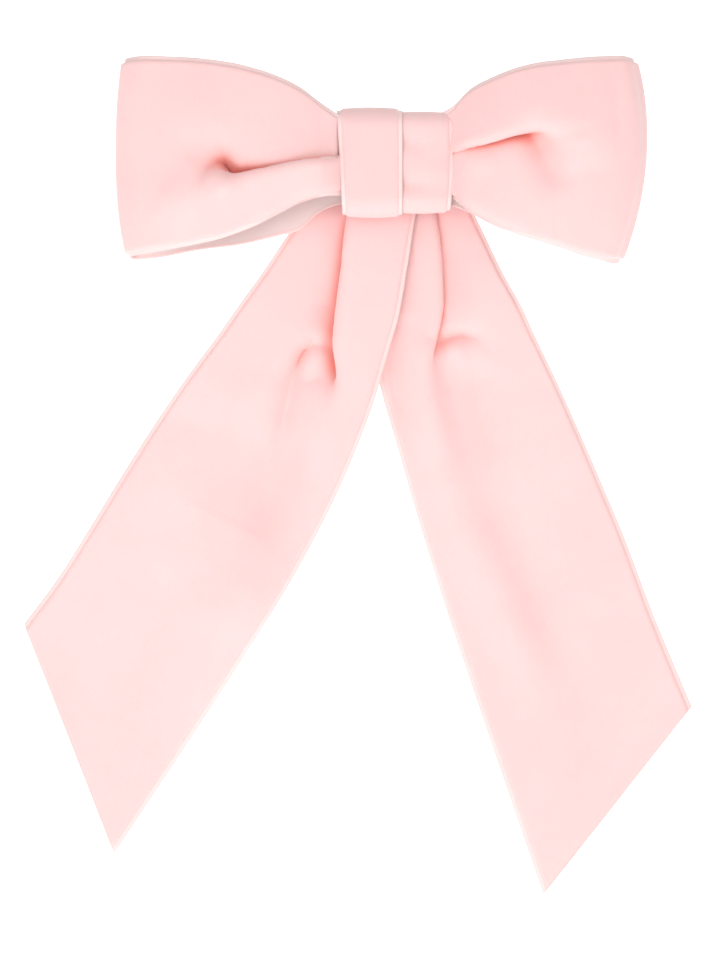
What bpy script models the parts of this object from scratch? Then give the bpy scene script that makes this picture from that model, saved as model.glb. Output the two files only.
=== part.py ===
"""A velvet ribbon bow with long tails on a spring hair barrette.

Frame: the bow faces -Y, +Z is up as it is worn, and +X is to the right of someone looking at the bow.
The origin is the middle of the gap that holds the hair, between the tension bar and the clasp arm.
Lengths below are in millimetres until a mesh is made, where MM turns them into metres.
"""

import math

import bmesh
import bpy
from mathutils import Matrix, Vector

MM = 0.001
GAP = 0.3  # left between pieces that rest on each other

# Spring barrette, stamped from sheet steel
PLATE_LENGTH = 80.0
PLATE_WIDTH = 10.0
PLATE_THICK = 0.8
PLATE_RISE = 7.0  # how far the plate's ends lie behind its middle
HAIR_GAP = 5.4  # clear depth for hair, between the bar and the arm, at the middle
BAR_WIDTH = 5.5
BAR_THICK = 0.5
BAR_STAND_OFF = 2.0  # clear depth between the plate and the bar, at the middle
BAR_TAB = 1.6  # the bar's length beyond the hinge ears
BAR_TIP = 1.4  # and beyond the latch's foot
BAR_TAB_INSET = 0.6  # the tab's sides lie this far inside the plate's
BAR_FLARE = 3.0  # length over which the bar widens before the latch
BAR_SHOULDER = 1.5  # from the end of the flare to the latch's foot
BAR_WINDOW_WALL = 1.2  # metal left on each side of the bar's window
BAR_TIP_RADIUS = 1.6
ARM_WIDTH = 7.0
ARM_THICK = 0.8
ARM_RISE = 2.0
ARM_THUMB = 0.6  # the arm's length beyond the plate
ARM_WINDOW_WALL = 1.6
ARM_WINDOW_MARGIN = 0.5  # between the arm's window and the prongs, along the barrette
HINGE_INSET = 7.0  # the hinge pin's distance from the plate's end
LATCH_INSET = 8.0
PIN_RADIUS = 0.7
PIN_CLEARANCE = 0.25
EYE_WALL = 0.6
EAR_THICK = 0.8
EAR_LENGTH = 4.6
EAR_MARGIN = 0.2  # how far an ear stands above the arm's eye
EAR_CLEARANCE = 0.6  # between an ear and the arm
PIN_HEAD_RADIUS = 1.3
PIN_HEAD_THICK = 0.5
SEWING_HOLE_RADIUS = 0.9
SEWING_HOLE_INSET = 2.6
LATCH_FOOT_LENGTH = 5.6
LATCH_FOOT_WIDTH = 6.4
LATCH_SHEET = 0.6
PRONG_WIDTH = 3.2  # along the barrette
PRONG_OFFSET = 2.0  # from the barrette's centre line to the middle of a prong's root
PRONG_HEIGHT = 7.3
PRONG_HOOK = 0.55  # how far the hook stands out of the prong
RIVET_RADIUS = 0.6
RIVET_HEAD_RADIUS = 1.1
RIVET_HEAD_THICK = 0.4
WINDOW_CLEARANCE = 0.15  # between a prong's hook and the side of the arm's window

# Ribbons
RIBBON_WIDTH = 50.0
RIBBON_THICK = 1.2
WRAP_WIDTH = 16.5
WRAP_THICK = 0.8
THREAD_DIAMETER = 0.4
THREAD_TURNS = 4
GLUE_THICK = 0.8
GLUE_HALF_LENGTH = 8.5
KNOT_GLUE_HALF_HEIGHT = 7.0
CLIP_GLUE_MARGIN = 0.4  # the pad's edge lies this far inside the plate's

# The bow, measured from its middle
LEFT_REACH = 71.0
RIGHT_REACH = 64.5
PINCH_HEIGHT = 23.2  # the ribbon's gathered width inside the knot
PINCH_DEPTH = 5.0  # between the gathered front and back layers of the loops
KNOT_LEFT = -14.8
KNOT_RIGHT = 14.8
LOOP_PUFF = 5.5  # how far the loops' front layer bellies out of the pinch
LOOP_HOLLOW = 3.6  # how far the back layer bellies the other way
TAIL_TOP = 8.0  # the fold of the tail ribbon, above the origin
TAIL_PINCH = 11.5  # half the gathered width of the tail ribbon where it is folded
FOLD_CLEARANCE = 1.5  # open below the fold, so that the tails can swing
TAIL_HINGE_DROP = 27.0  # the line that the tails swing about, below the origin
TAIL_LAYER_GAP = 0.4

# Places worked out from the sizes above
HINGE_X = -(PLATE_LENGTH / 2 - HINGE_INSET)
LATCH_X = PLATE_LENGTH / 2 - LATCH_INSET
BAR_MIDDLE = -(HAIR_GAP + BAR_THICK) / 2
ARM_MIDDLE = (HAIR_GAP + ARM_THICK) / 2
PLATE_MIDDLE = BAR_MIDDLE - BAR_THICK / 2 - BAR_STAND_OFF - PLATE_THICK / 2
CLIP_GLUE_MIDDLE = PLATE_MIDDLE - PLATE_THICK / 2 - GAP - GLUE_THICK / 2
TAIL_BACK_MIDDLE = CLIP_GLUE_MIDDLE - GLUE_THICK / 2 - GAP - RIBBON_THICK / 2
TAIL_FRONT_MIDDLE = TAIL_BACK_MIDDLE - RIBBON_THICK - TAIL_LAYER_GAP
KNOT_GLUE_MIDDLE = TAIL_FRONT_MIDDLE - RIBBON_THICK / 2 - GAP - GLUE_THICK / 2
WRAP_BACK = KNOT_GLUE_MIDDLE - GLUE_THICK / 2 - GAP  # outermost face of the wrap behind the knot
WRAP_PITCH = WRAP_THICK + GAP  # how much further out each turn of the wrap lies
THREAD_SPACE = THREAD_DIAMETER + 2 * GAP
LOOP_BACK_MIDDLE = WRAP_BACK - WRAP_PITCH - WRAP_THICK - THREAD_SPACE - RIBBON_THICK / 2
LOOP_FRONT_MIDDLE = LOOP_BACK_MIDDLE - PINCH_DEPTH
HALF_PINCH = PINCH_HEIGHT / 2
HALF_RIBBON = RIBBON_WIDTH / 2
FLAT_END = 0.8  # half width left where a rounded strip ends
CUT_DEPTH = 3.0  # how far a window's cutter reaches on each side of the metal
BAR_STEP = 0.02  # length of the step from the bar's tab to its neck


def material(name, colour, roughness, metallic=0.0):
    made = bpy.data.materials.new(name)
    made.use_nodes = True
    shader = made.node_tree.nodes["Principled BSDF"]
    shader.inputs["Base Color"].default_value = (*colour, 1.0)
    shader.inputs["Roughness"].default_value = roughness
    shader.inputs["Metallic"].default_value = metallic
    return made


def add(name, mesh, finish=None, helper=False):
    """Link a mesh as an object. A helper is a cutter or a shape joined to another by a Boolean."""
    made = bpy.data.objects.new(name, mesh)
    bpy.context.scene.collection.objects.link(made)
    if finish:
        mesh.materials.append(finish)
    if helper:
        made.hide_render = True
        made.display_type = "WIRE"
    return made


def mesh_from(name, points, faces):
    """A mesh from points in millimetres, with its faces turned outwards."""
    mesh = bpy.data.meshes.new(name)
    mesh.from_pydata([Vector(p) * MM for p in points], [], faces)
    shell = bmesh.new()
    shell.from_mesh(mesh)
    bmesh.ops.recalc_face_normals(shell, faces=shell.faces)
    shell.to_mesh(mesh)
    shell.free()
    return mesh


def boolean(target, other, operation):
    cut = target.modifiers.new(operation.title(), "BOOLEAN")
    cut.operation = operation
    cut.object = other
    cut.solver = "EXACT"


def sheet(name, rows, thick, finish=None, closed=False, helper=False):
    """A sheet of even thickness whose middle surface passes through rows of points."""
    across = len(rows[0])
    points = [p for row in rows for p in row]
    steps = len(rows) if closed else len(rows) - 1
    faces = []
    for i in range(steps):
        here = i * across
        there = (i + 1) % len(rows) * across
        for j in range(across - 1):
            faces.append((here + j, there + j, there + j + 1, here + j + 1))
    made = add(name, mesh_from(name, points, faces), finish, helper)
    solid = made.modifiers.new("Thickness", "SOLIDIFY")
    solid.thickness = thick * MM
    solid.offset = 0.0
    solid.use_even_offset = True
    made.data.shade_smooth()
    return made


def extruded(name, outline, axis, start, end, finish=None, helper=False):
    """A prism. outline holds pairs for the two axes that follow axis in X, Y, Z, X order."""
    def place(pair, along):
        point = [0.0, 0.0, 0.0]
        point[axis] = along
        point[(axis + 1) % 3] = pair[0]
        point[(axis + 2) % 3] = pair[1]
        return point

    n = len(outline)
    points = [place(pair, start) for pair in outline] + [place(pair, end) for pair in outline]
    faces = [tuple(range(n)), tuple(range(n, 2 * n))]
    faces += [(i, (i + 1) % n, n + (i + 1) % n, n + i) for i in range(n)]
    return add(name, mesh_from(name, points, faces), finish, helper)


def turned(name, profile, segments, finish=None, helper=False):
    """A turned piece about Z. profile holds (radius, height) pairs from the bottom up."""
    points, faces = [], []
    for radius, height in profile:
        for k in range(segments):
            angle = 2 * math.pi * k / segments
            points.append((radius * math.cos(angle), radius * math.sin(angle), height))
    for i in range(len(profile) - 1):
        for k in range(segments):
            a, b = i * segments + k, i * segments + (k + 1) % segments
            faces.append((a, b, b + segments, a + segments))
    faces.append(tuple(range(segments)))
    faces.append(tuple(range(len(points) - segments, len(points))))
    made = add(name, mesh_from(name, points, faces), finish, helper)
    made.data.shade_smooth()
    made.data.set_sharp_from_angle(angle=math.radians(40))
    return made


def cutter(name, radius, length, centre, axis, segments=16):
    """A round cutter of the given length along an axis."""
    made = turned(name, [(radius, -length / 2), (radius, length / 2)], segments, helper=True)
    turn = Vector((0, 0, 1)).rotation_difference(Vector(axis)).to_matrix().to_4x4()
    made.matrix_world = Matrix.Translation(Vector(centre) * MM) @ turn
    return made


def eased(value, low, high):
    """0 below low, 1 above high, and a smooth step between."""
    t = max(0.0, min(1.0, (value - low) / (high - low)))
    return t * t * (3 - 2 * t)


def through(knots, value):
    """The height at value of a smooth curve through (value, height) knots, level beyond its ends."""
    if value <= knots[0][0]:
        return knots[0][1]
    if value >= knots[-1][0]:
        return knots[-1][1]
    i = next(k for k in range(len(knots) - 1) if knots[k + 1][0] >= value)

    def slope(k):
        a, b = knots[max(k - 1, 0)], knots[min(k + 1, len(knots) - 1)]
        return (b[1] - a[1]) / (b[0] - a[0])

    (x0, y0), (x1, y1) = knots[i], knots[i + 1]
    h = x1 - x0
    t = (value - x0) / h
    rise = (2 * t - 3) * t * t
    start, end = (t - 2) * t * t + t, (t - 1) * t * t
    return y0 * (1 + rise) - y1 * rise + slope(i) * h * start + slope(i + 1) * h * end


def spline(points, per_span, closed=False):
    """Points along a smooth curve through the given ones."""
    n = len(points)
    spans = n if closed else n - 1
    found = []
    for i in range(spans):
        if closed:
            p = [Vector(points[(i + k) % n]) for k in (-1, 0, 1, 2)]
        else:
            p = [Vector(points[max(0, min(n - 1, i + k))]) for k in (-1, 0, 1, 2)]
        for k in range(per_span):
            t = k / per_span
            a = 2 * p[1] + (p[2] - p[0]) * t
            b = (2 * p[0] - 5 * p[1] + 4 * p[2] - p[3]) * t * t
            c = (3 * p[1] - p[0] - 3 * p[2] + p[3]) * t * t * t
            found.append((a + b + c) / 2)
    return found if closed else found + [Vector(points[-1])]


def rounded_end(x, start, end, half_width, radius):
    """Half the width at x of a strip whose two ends are rounded to the radius."""
    inside = min(x - start, end - x)
    if inside >= radius:
        return half_width
    cut = radius - math.sqrt(max(0.0, radius**2 - (radius - inside) ** 2))
    return max(FLAT_END, half_width - cut)


# ---- barrette -------------------------------------------------------------------------------------


def plate_y(x):
    """Middle surface of the plate: an arc with its ends PLATE_RISE behind its middle."""
    half = PLATE_LENGTH / 2
    radius = (half**2 + PLATE_RISE**2) / (2 * PLATE_RISE)
    return PLATE_MIDDLE + radius - math.sqrt(radius**2 - x**2)


def arm_y(x):
    """Middle surface of the arm, a flatter arc than the plate's."""
    half = PLATE_LENGTH / 2
    radius = (half**2 + ARM_RISE**2) / (2 * ARM_RISE)
    return ARM_MIDDLE + radius - math.sqrt(radius**2 - x**2)


BAR_START = HINGE_X - EAR_LENGTH / 2 - BAR_TAB
BAR_END = LATCH_X + LATCH_FOOT_LENGTH / 2 + BAR_TIP
BAR_ON_PLATE = (PLATE_THICK + BAR_THICK) / 2 + GAP
BAR_ON_FOOT = BAR_ON_PLATE + LATCH_SHEET + GAP


def bar_y(x):
    """Middle surface of the bar: it rests on the plate at the hinge and on the latch foot at the latch."""
    at_start = plate_y(BAR_START) + BAR_ON_PLATE - BAR_MIDDLE
    at_end = plate_y(BAR_END) + BAR_ON_FOOT - BAR_MIDDLE
    bow = (at_start * BAR_END - at_end * BAR_START) / (BAR_START * BAR_END * (BAR_START - BAR_END))
    tilt = (at_start - bow * BAR_START**2) / BAR_START
    return BAR_MIDDLE + bow * x**2 + tilt * x


PIN_Y = arm_y(HINGE_X) + ARM_THICK / 2 - (PIN_RADIUS + PIN_CLEARANCE + EYE_WALL)
EYE_RADIUS = PIN_RADIUS + PIN_CLEARANCE + EYE_WALL
EAR_INSIDE = ARM_WIDTH / 2 + EAR_CLEARANCE
EAR_OUTSIDE = EAR_INSIDE + EAR_THICK


def strip(name, start, end, middle, half_width, thick, steps, finish=None, helper=False):
    """A sheet-metal strip along X. middle and half_width give its surface and half width at x."""
    rows = []
    for i in range(steps + 1):
        x = start + (end - start) * (1 - math.cos(math.pi * i / steps)) / 2
        half = half_width(x)
        rows.append([(x, middle(x), -half), (x, middle(x), half)])
    return sheet(name, rows, thick, finish, helper=helper)


def make_plate(steel):
    """The arched plate with its two sewing holes, the hinge ears and the latch's rivet hole."""
    half = PLATE_LENGTH / 2

    def half_width(x):
        return rounded_end(x, -half, half, PLATE_WIDTH / 2, PLATE_WIDTH / 2 - FLAT_END)

    plate = strip("base_plate", -half, half, plate_y, half_width, PLATE_THICK, 28, steel)
    ear_top = EYE_RADIUS + EAR_MARGIN
    crown = [
        (HINGE_X + ear_top * math.cos(a), PIN_Y + ear_top * math.sin(a))
        for a in (math.radians(d) for d in range(0, 181, 20))
    ]
    near_foot, far_foot = HINGE_X + EAR_LENGTH / 2, HINGE_X - EAR_LENGTH / 2
    outline = [(near_foot, plate_y(near_foot)), *crown, (far_foot, plate_y(far_foot))]
    for side, label in ((1, "upper"), (-1, "lower")):
        near, far = sorted((side * EAR_INSIDE, side * EAR_OUTSIDE))
        ear = extruded("ear_" + label, outline, 2, near, far, helper=True)
        boolean(plate, ear, "UNION")
    bore = cutter(
        "ear_bore", PIN_RADIUS + GAP, 3 * EAR_OUTSIDE, (HINGE_X, PIN_Y, 0), (0, 0, 1)
    )
    boolean(plate, bore, "DIFFERENCE")
    for x in (SEWING_HOLE_INSET - half, half - SEWING_HOLE_INSET):
        hole = cutter("sewing_hole", SEWING_HOLE_RADIUS, 8, (x, plate_y(x), 0), plate_normal(x))
        boolean(plate, hole, "DIFFERENCE")
    hole = cutter("rivet_hole", RIVET_RADIUS + GAP, 3, on_plate(LATCH_X, 0), plate_normal(LATCH_X))
    boolean(plate, hole, "DIFFERENCE")


def plate_normal(x):
    """The plate's normal at x, pointing to the hair."""
    step = 0.01
    slope = (plate_y(x + step) - plate_y(x - step)) / (2 * step)
    return Vector((-slope, 1, 0)).normalized()


def on_plate(x, distance):
    """The point that far behind the plate's middle surface at x."""
    return Vector((x, plate_y(x), 0)) + plate_normal(x) * distance


def make_pin(steel):
    """The riveted hinge pin through both ears and the arm's eye."""
    shank = EAR_OUTSIDE + GAP
    end = shank + PIN_HEAD_THICK
    head = [(PIN_HEAD_RADIUS * 0.7, end), (PIN_HEAD_RADIUS, end - PIN_HEAD_THICK / 2)]
    head += [(PIN_HEAD_RADIUS, shank), (PIN_RADIUS, shank)]
    profile = [(r, -h) for r, h in head] + [(r, h) for r, h in reversed(head)]
    pin = turned("hinge_pin", profile, 16, steel)
    pin.location = Vector((HINGE_X, PIN_Y, 0)) * MM


def make_bar(steel):
    """The curved tension bar, T-shaped past the ears and with a window round the latch."""
    neck = HINGE_X - EAR_LENGTH / 2 - GAP
    shoulder = LATCH_X - LATCH_FOOT_LENGTH / 2 - BAR_SHOULDER
    flare_start = shoulder - BAR_FLARE
    side = PRONG_OFFSET + LATCH_SHEET / 2 + GAP
    wide = side + BAR_WINDOW_WALL

    def half_width(x):
        if x < neck:
            return PLATE_WIDTH / 2 - BAR_TAB_INSET
        half = BAR_WIDTH / 2 + (wide - BAR_WIDTH / 2) * eased(x, flare_start, shoulder)
        return rounded_end(x, 2 * BAR_START, BAR_END, half, BAR_TIP_RADIUS)

    stations = [BAR_START, neck - BAR_STEP, neck]
    stations += [neck + (flare_start - neck) * k / 16 for k in range(1, 17)]
    stations += [flare_start + (BAR_END - flare_start) * k / 10 for k in range(1, 11)]
    rows = [[(x, bar_y(x), -half_width(x)), (x, bar_y(x), half_width(x))] for x in stations]
    bar = sheet("tension_bar", rows, BAR_THICK, steel)
    half = PRONG_WIDTH / 2 + GAP
    middle = bar_y(LATCH_X)
    low, high = middle - CUT_DEPTH, middle + CUT_DEPTH
    cut = box("bar_window", (LATCH_X - half, low, -side), (LATCH_X + half, high, side))
    boolean(bar, cut, "DIFFERENCE")


def box(name, low, high):
    outline = [(low[1], low[2]), (high[1], low[2]), (high[1], high[2]), (low[1], high[2])]
    return extruded(name, outline, 0, low[0], high[0], helper=True)


FOOT_MIDDLE = PLATE_THICK / 2 + GAP + LATCH_SHEET / 2  # behind the plate's middle surface
PRONG_ROOT_Y = bar_y(LATCH_X) + BAR_THICK / 2 + 2 * GAP


def make_latch(steel):
    """The latch: a riveted foot with two short stubs, and the two springy prongs that stand on them."""
    half = LATCH_FOOT_LENGTH / 2
    foot = strip(
        "latch_bracket",
        LATCH_X - half,
        LATCH_X + half,
        lambda x: plate_y(x) + FOOT_MIDDLE,
        lambda x: LATCH_FOOT_WIDTH / 2,
        LATCH_SHEET,
        4,
        steel,
    )
    for side in (1, -1):
        z = side * PRONG_OFFSET
        low = (LATCH_X - PRONG_WIDTH / 2, plate_y(LATCH_X) + FOOT_MIDDLE, z - LATCH_SHEET / 2)
        high = (LATCH_X + PRONG_WIDTH / 2, PRONG_ROOT_Y - GAP, z + LATCH_SHEET / 2)
        boolean(foot, box("latch_stub", low, high), "UNION")
    hole = cutter("foot_hole", RIVET_RADIUS + GAP, 3, on_plate(LATCH_X, FOOT_MIDDLE), plate_normal(LATCH_X))
    boolean(foot, hole, "DIFFERENCE")
    make_prong("latch_prong_upper", 1, steel)
    make_prong("latch_prong_lower", -1, steel)
    make_rivet(steel)


def make_prong(name, side, steel):
    """One prong, drawn from its root up; its origin is on the line that it flexes about."""
    half = LATCH_SHEET / 2
    hook_y = arm_y(LATCH_X) + ARM_THICK / 2 + WINDOW_CLEARANCE - PRONG_ROOT_Y
    hook = half + PRONG_HOOK
    outer = [(0, half), (hook_y - 1.5, half), (hook_y - 0.2, half), (hook_y + 0.1, hook)]
    outer += [(hook_y + 0.9, hook - 0.1), (hook_y + 1.7, half + 0.1), (PRONG_HEIGHT - 0.6, hook)]
    outer += [(PRONG_HEIGHT, hook - 0.2)]
    inner = [(PRONG_HEIGHT - 0.1, hook - 0.65), (PRONG_HEIGHT - 0.8, hook - 0.62)]
    inner += [(hook_y + 1.7, half - 0.5), (hook_y, -half + 0.05), (0, -half)]
    outline = [(y, side * z) for y, z in outer + inner]
    prong = extruded(name, outline, 0, -PRONG_WIDTH / 2, PRONG_WIDTH / 2, steel)
    prong.location = Vector((LATCH_X, PRONG_ROOT_Y, side * PRONG_OFFSET)) * MM


def make_rivet(steel):
    """The rivet that holds the latch foot on the plate."""
    front = -(PLATE_THICK / 2 + GAP)
    back = FOOT_MIDDLE + LATCH_SHEET / 2 + GAP / 2
    profile = [
        (RIVET_HEAD_RADIUS * 0.6, front - RIVET_HEAD_THICK),
        (RIVET_HEAD_RADIUS, front - RIVET_HEAD_THICK / 2),
        (RIVET_HEAD_RADIUS, front),
        (RIVET_RADIUS, front),
        (RIVET_RADIUS, back),
    ]
    rivet = turned("latch_rivet", profile, 12, steel)
    turn = Vector((0, 0, 1)).rotation_difference(plate_normal(LATCH_X)).to_matrix().to_4x4()
    rivet.matrix_world = Matrix.Translation(on_plate(LATCH_X, 0) * MM) @ turn


def make_arm(steel):
    """The clasp arm, with a rolled eye at the hinge, a window for the prongs and a thumb end."""
    side = PRONG_OFFSET + LATCH_SHEET / 2 + PRONG_HOOK + WINDOW_CLEARANCE
    paddle = side + ARM_WINDOW_WALL
    start = HINGE_X
    end = PLATE_LENGTH / 2 + ARM_THUMB

    def half_width(x):
        widening = eased(x, LATCH_X - LATCH_INSET, LATCH_X - PRONG_WIDTH)
        half = ARM_WIDTH / 2 + (paddle - ARM_WIDTH / 2) * widening
        return rounded_end(x, 2 * start, end, half, paddle - FLAT_END)

    arm = strip("clasp_arm", start, end, arm_y, half_width, ARM_THICK, 34, steel)
    eye = turned(
        "arm_eye", [(EYE_RADIUS, -ARM_WIDTH / 2), (EYE_RADIUS, ARM_WIDTH / 2)], 20, helper=True
    )
    eye.location = Vector((HINGE_X, PIN_Y, 0)) * MM
    boolean(arm, eye, "UNION")
    bore = cutter(
        "eye_bore", PIN_RADIUS + PIN_CLEARANCE, 2 * ARM_WIDTH, (HINGE_X, PIN_Y, 0), (0, 0, 1)
    )
    boolean(arm, bore, "DIFFERENCE")
    half = PRONG_WIDTH / 2 + ARM_WINDOW_MARGIN
    low, high = arm_y(LATCH_X) - CUT_DEPTH, arm_y(LATCH_X) + CUT_DEPTH
    cut = box("arm_window", (LATCH_X - half, low, -side), (LATCH_X + half, high, side))
    boolean(arm, cut, "DIFFERENCE")


# ---- bow ------------------------------------------------------------------------------------------

LOOP_STEPS = 3  # rows between two knots of the loops' plan
FOLD_KNOT = 9  # place of the outer fold among the plan's knots


def loop_plan(reach):
    """The loops' middle line seen from above, from the middle of the front round to the back."""
    front, back = LOOP_FRONT_MIDDLE, LOOP_BACK_MIDDLE
    fold = (front + back) / 2 + 3.2
    return [
        (0, front),
        (7.5, front),
        (15.4, front),
        (21, front - LOOP_PUFF * 0.45),
        (30, front - LOOP_PUFF * 0.9),
        (reach * 0.6, front - LOOP_PUFF),
        (reach * 0.77, front - LOOP_PUFF * 0.75),
        (reach * 0.9, front - LOOP_PUFF * 0.2),
        (reach * 0.975, fold - 2.4),
        (reach, fold),
        (reach * 0.97, fold + 2.0),
        (reach * 0.85, fold + LOOP_HOLLOW - 0.2),
        (reach * 0.65, fold + LOOP_HOLLOW),
        (30, back + LOOP_HOLLOW),
        (21, back + LOOP_HOLLOW * 0.45),
        (15.4, back),
        (7.5, back),
    ]


def loop_edges(left, front):
    """A loop's upper and lower edge, as knots of the distance from the middle and the height.

    The shares below run from 0, the gathered height, to 1, half the ribbon's width.
    """
    reach = LEFT_REACH if left else RIGHT_REACH
    if left:
        upper = [(14.8, 0.03), (24.7, 0.455), (35, 0.73), (51, 1.045), (reach, 1.16)]
        if front:
            lower = [(14.8, -0.2), (24.7, -0.05), (29.9, 0.14), (37.7, 0.43), (50.7, 0.72)]
            lower += [(reach, 0.9)]
        else:
            lower = [(14.8, -0.04), (22.1, 0.24), (28.6, 0.54), (42, 0.76), (reach, 0.98)]
    else:
        upper = [(14.8, 0.03), (20, 0.48), (28, 0.81), (43, 1.045), (reach, 1.16)]
        lower = [(14.8, -0.13), (21.3, 0.26), (32.4, 0.545), (46, 0.84)]
        lower += [(reach, 0.93 if front else 1.05)]
    room = HALF_RIBBON - HALF_PINCH
    gathered = [(0, 0), (10, 0)]
    top = [(x, HALF_PINCH + share * room) for x, share in gathered + upper]
    bottom = [(x, -HALF_PINCH - share * room) for x, share in gathered + lower]
    return top, bottom


def make_loops(velvet):
    """Both loops: one ribbon closed into a flat ring and gathered in the middle."""
    right = loop_plan(RIGHT_REACH)
    left = loop_plan(LEFT_REACH)
    ring = [(x, y) for x, y in right] + [(0, LOOP_BACK_MIDDLE)] + [(-x, y) for x, y in reversed(left)][:-1]
    line = spline([(x, y, 0) for x, y in ring], LOOP_STEPS, closed=True)
    n_right = LOOP_STEPS * len(right)
    rows = []
    for i, p in enumerate(line):
        on_right = i <= n_right
        k = i if on_right else len(line) - i
        front = k <= LOOP_STEPS * FOLD_KNOT
        upper, lower = loop_edges(not on_right, front)
        top, bottom = through(upper, abs(p.x)), through(lower, abs(p.x))
        row = []
        for j in range(5):
            t = j / 4
            crown = 4 * t * (1 - t) * eased(abs(p.x), 12, 30) * (1 - eased(abs(p.x), 50, 64))
            row.append((p.x, p.y + (-1.4 if front else 1.0) * crown, top + (bottom - top) * t))
        rows.append(row)
    sheet("bow_loop_ribbon", rows, RIBBON_THICK, velvet, closed=True)


WRAP_INNER_HALF = HALF_PINCH + THREAD_SPACE + WRAP_THICK / 2
WRAP_CORNER = 2.6


def ring_path(front, back, half, corner, per_corner=5):
    """Points and outward normals of a rounded rectangle in the YZ plane, from its back middle down."""
    found = [((back, 0.0), (1.0, 0.0))]
    for cy, cz, start in (
        (back - corner, corner - half, 0),
        (front + corner, corner - half, -90),
        (front + corner, half - corner, -180),
        (back - corner, half - corner, -270),
    ):
        for k in range(per_corner):
            a = math.radians(start - 90 * k / (per_corner - 1))
            normal = (math.cos(a), math.sin(a))
            found.append(((cy + corner * normal[0], cz + corner * normal[1]), normal))
    return found


def make_wrap(velvet):
    """The narrow ribbon round the knot: two turns, the second further left and on top of the first."""
    inner_back = WRAP_BACK - WRAP_PITCH - WRAP_THICK / 2
    inner_front = LOOP_FRONT_MIDDLE - RIBBON_THICK / 2 - THREAD_SPACE - WRAP_THICK / 2
    ring = ring_path(inner_front, inner_back, WRAP_INNER_HALF, WRAP_CORNER)
    right = KNOT_RIGHT - WRAP_WIDTH / 2
    left = KNOT_LEFT + WRAP_WIDTH / 2
    n = len(ring)
    rows = []
    for i in range(2 * n - 3):
        (y, z), normal = ring[i % n]
        turns = i / n
        out = WRAP_PITCH * turns
        across = right + (left - right) * eased(turns, 0.88, 1.12)
        point = (y + normal[0] * out, z + normal[1] * out)
        rows.append([(across + side * WRAP_WIDTH / 2, *point) for side in (-1, 0, 1)])
    sheet("knot_wrap", rows, WRAP_THICK, velvet)


def make_thread(thread):
    """The thread wound tightly round the gathered ribbon, hidden under the wrap."""
    room = GAP + THREAD_DIAMETER / 2 + RIBBON_THICK / 2
    ring = ring_path(
        LOOP_FRONT_MIDDLE - room, LOOP_BACK_MIDDLE + room, HALF_PINCH + GAP + THREAD_DIAMETER / 2, 1.2, 4
    )
    pitch = THREAD_DIAMETER + GAP
    n = len(ring)
    count = THREAD_TURNS * n - 1
    data = bpy.data.curves.new("cinch_thread", "CURVE")
    data.dimensions = "3D"
    data.bevel_depth = THREAD_DIAMETER / 2 * MM
    data.bevel_resolution = 1
    data.use_fill_caps = True
    path = data.splines.new("POLY")
    path.points.add(count - 1)
    for i in range(count):
        (y, z), _ = ring[i % n]
        x = pitch * (i / n - THREAD_TURNS / 2)
        path.points[i].co = (x * MM, y * MM, z * MM, 1.0)
    made = bpy.data.objects.new("cinch_thread", data)
    data.materials.append(thread)
    bpy.context.scene.collection.objects.link(made)


# Stations down each tail from the hinge line to its slanting cut. Each has the place of its middle
# (across, height), then how far its outer edge lies from there (across, height) in ribbon widths; the
# inner edge lies as far on the other side.
LEFT_TAIL = [
    (-14.0, -27.5, -0.392, -0.002),
    (-20.4, -39.2, -0.416, 0.024),
    (-27.2, -55.3, -0.465, 0.09),
    (-36.1, -71.8, -0.478, 0.152),
    (-47.3, -92.1, -0.454, 0.242),
    (-60.0, -112.5, -0.38, 0.366),
    (-72.7, -132.4, -0.298, 0.48),
    (-84.5, -150.0, -0.218, 0.582),
]
RIGHT_TAIL = [
    (10.3, -27.5, 0.346, -0.002),
    (13.9, -40.7, 0.401, 0.026),
    (17.8, -54.2, 0.439, 0.056),
    (22.7, -69.0, 0.458, 0.093),
    (28.3, -83.8, 0.478, 0.089),
    (34.9, -101.9, 0.477, 0.146),
    (45.5, -132.5, 0.43, 0.31),
    (57.4, -165.0, 0.377, 0.476),
]
# How far the fold's edges have spread, from the pinch to the top of a tail: (height, share) knots.
OUTER_FAN = [(-TAIL_HINGE_DROP, 1.0), (-19, 0.74), (0, 0.17), (TAIL_TOP, 0)]
INNER_FAN = [(-TAIL_HINGE_DROP, 1.0), (0, 0.8), (TAIL_TOP, 0)]


def tail_edges(stations):
    """The outer and the inner edge of a tail, as points (across, height) from the top down."""
    outer = [(x + RIBBON_WIDTH * dx, z + RIBBON_WIDTH * dz) for x, z, dx, dz in stations]
    inner = [(x - RIBBON_WIDTH * dx, z - RIBBON_WIDTH * dz) for x, z, dx, dz in stations]
    return outer, inner


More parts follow.
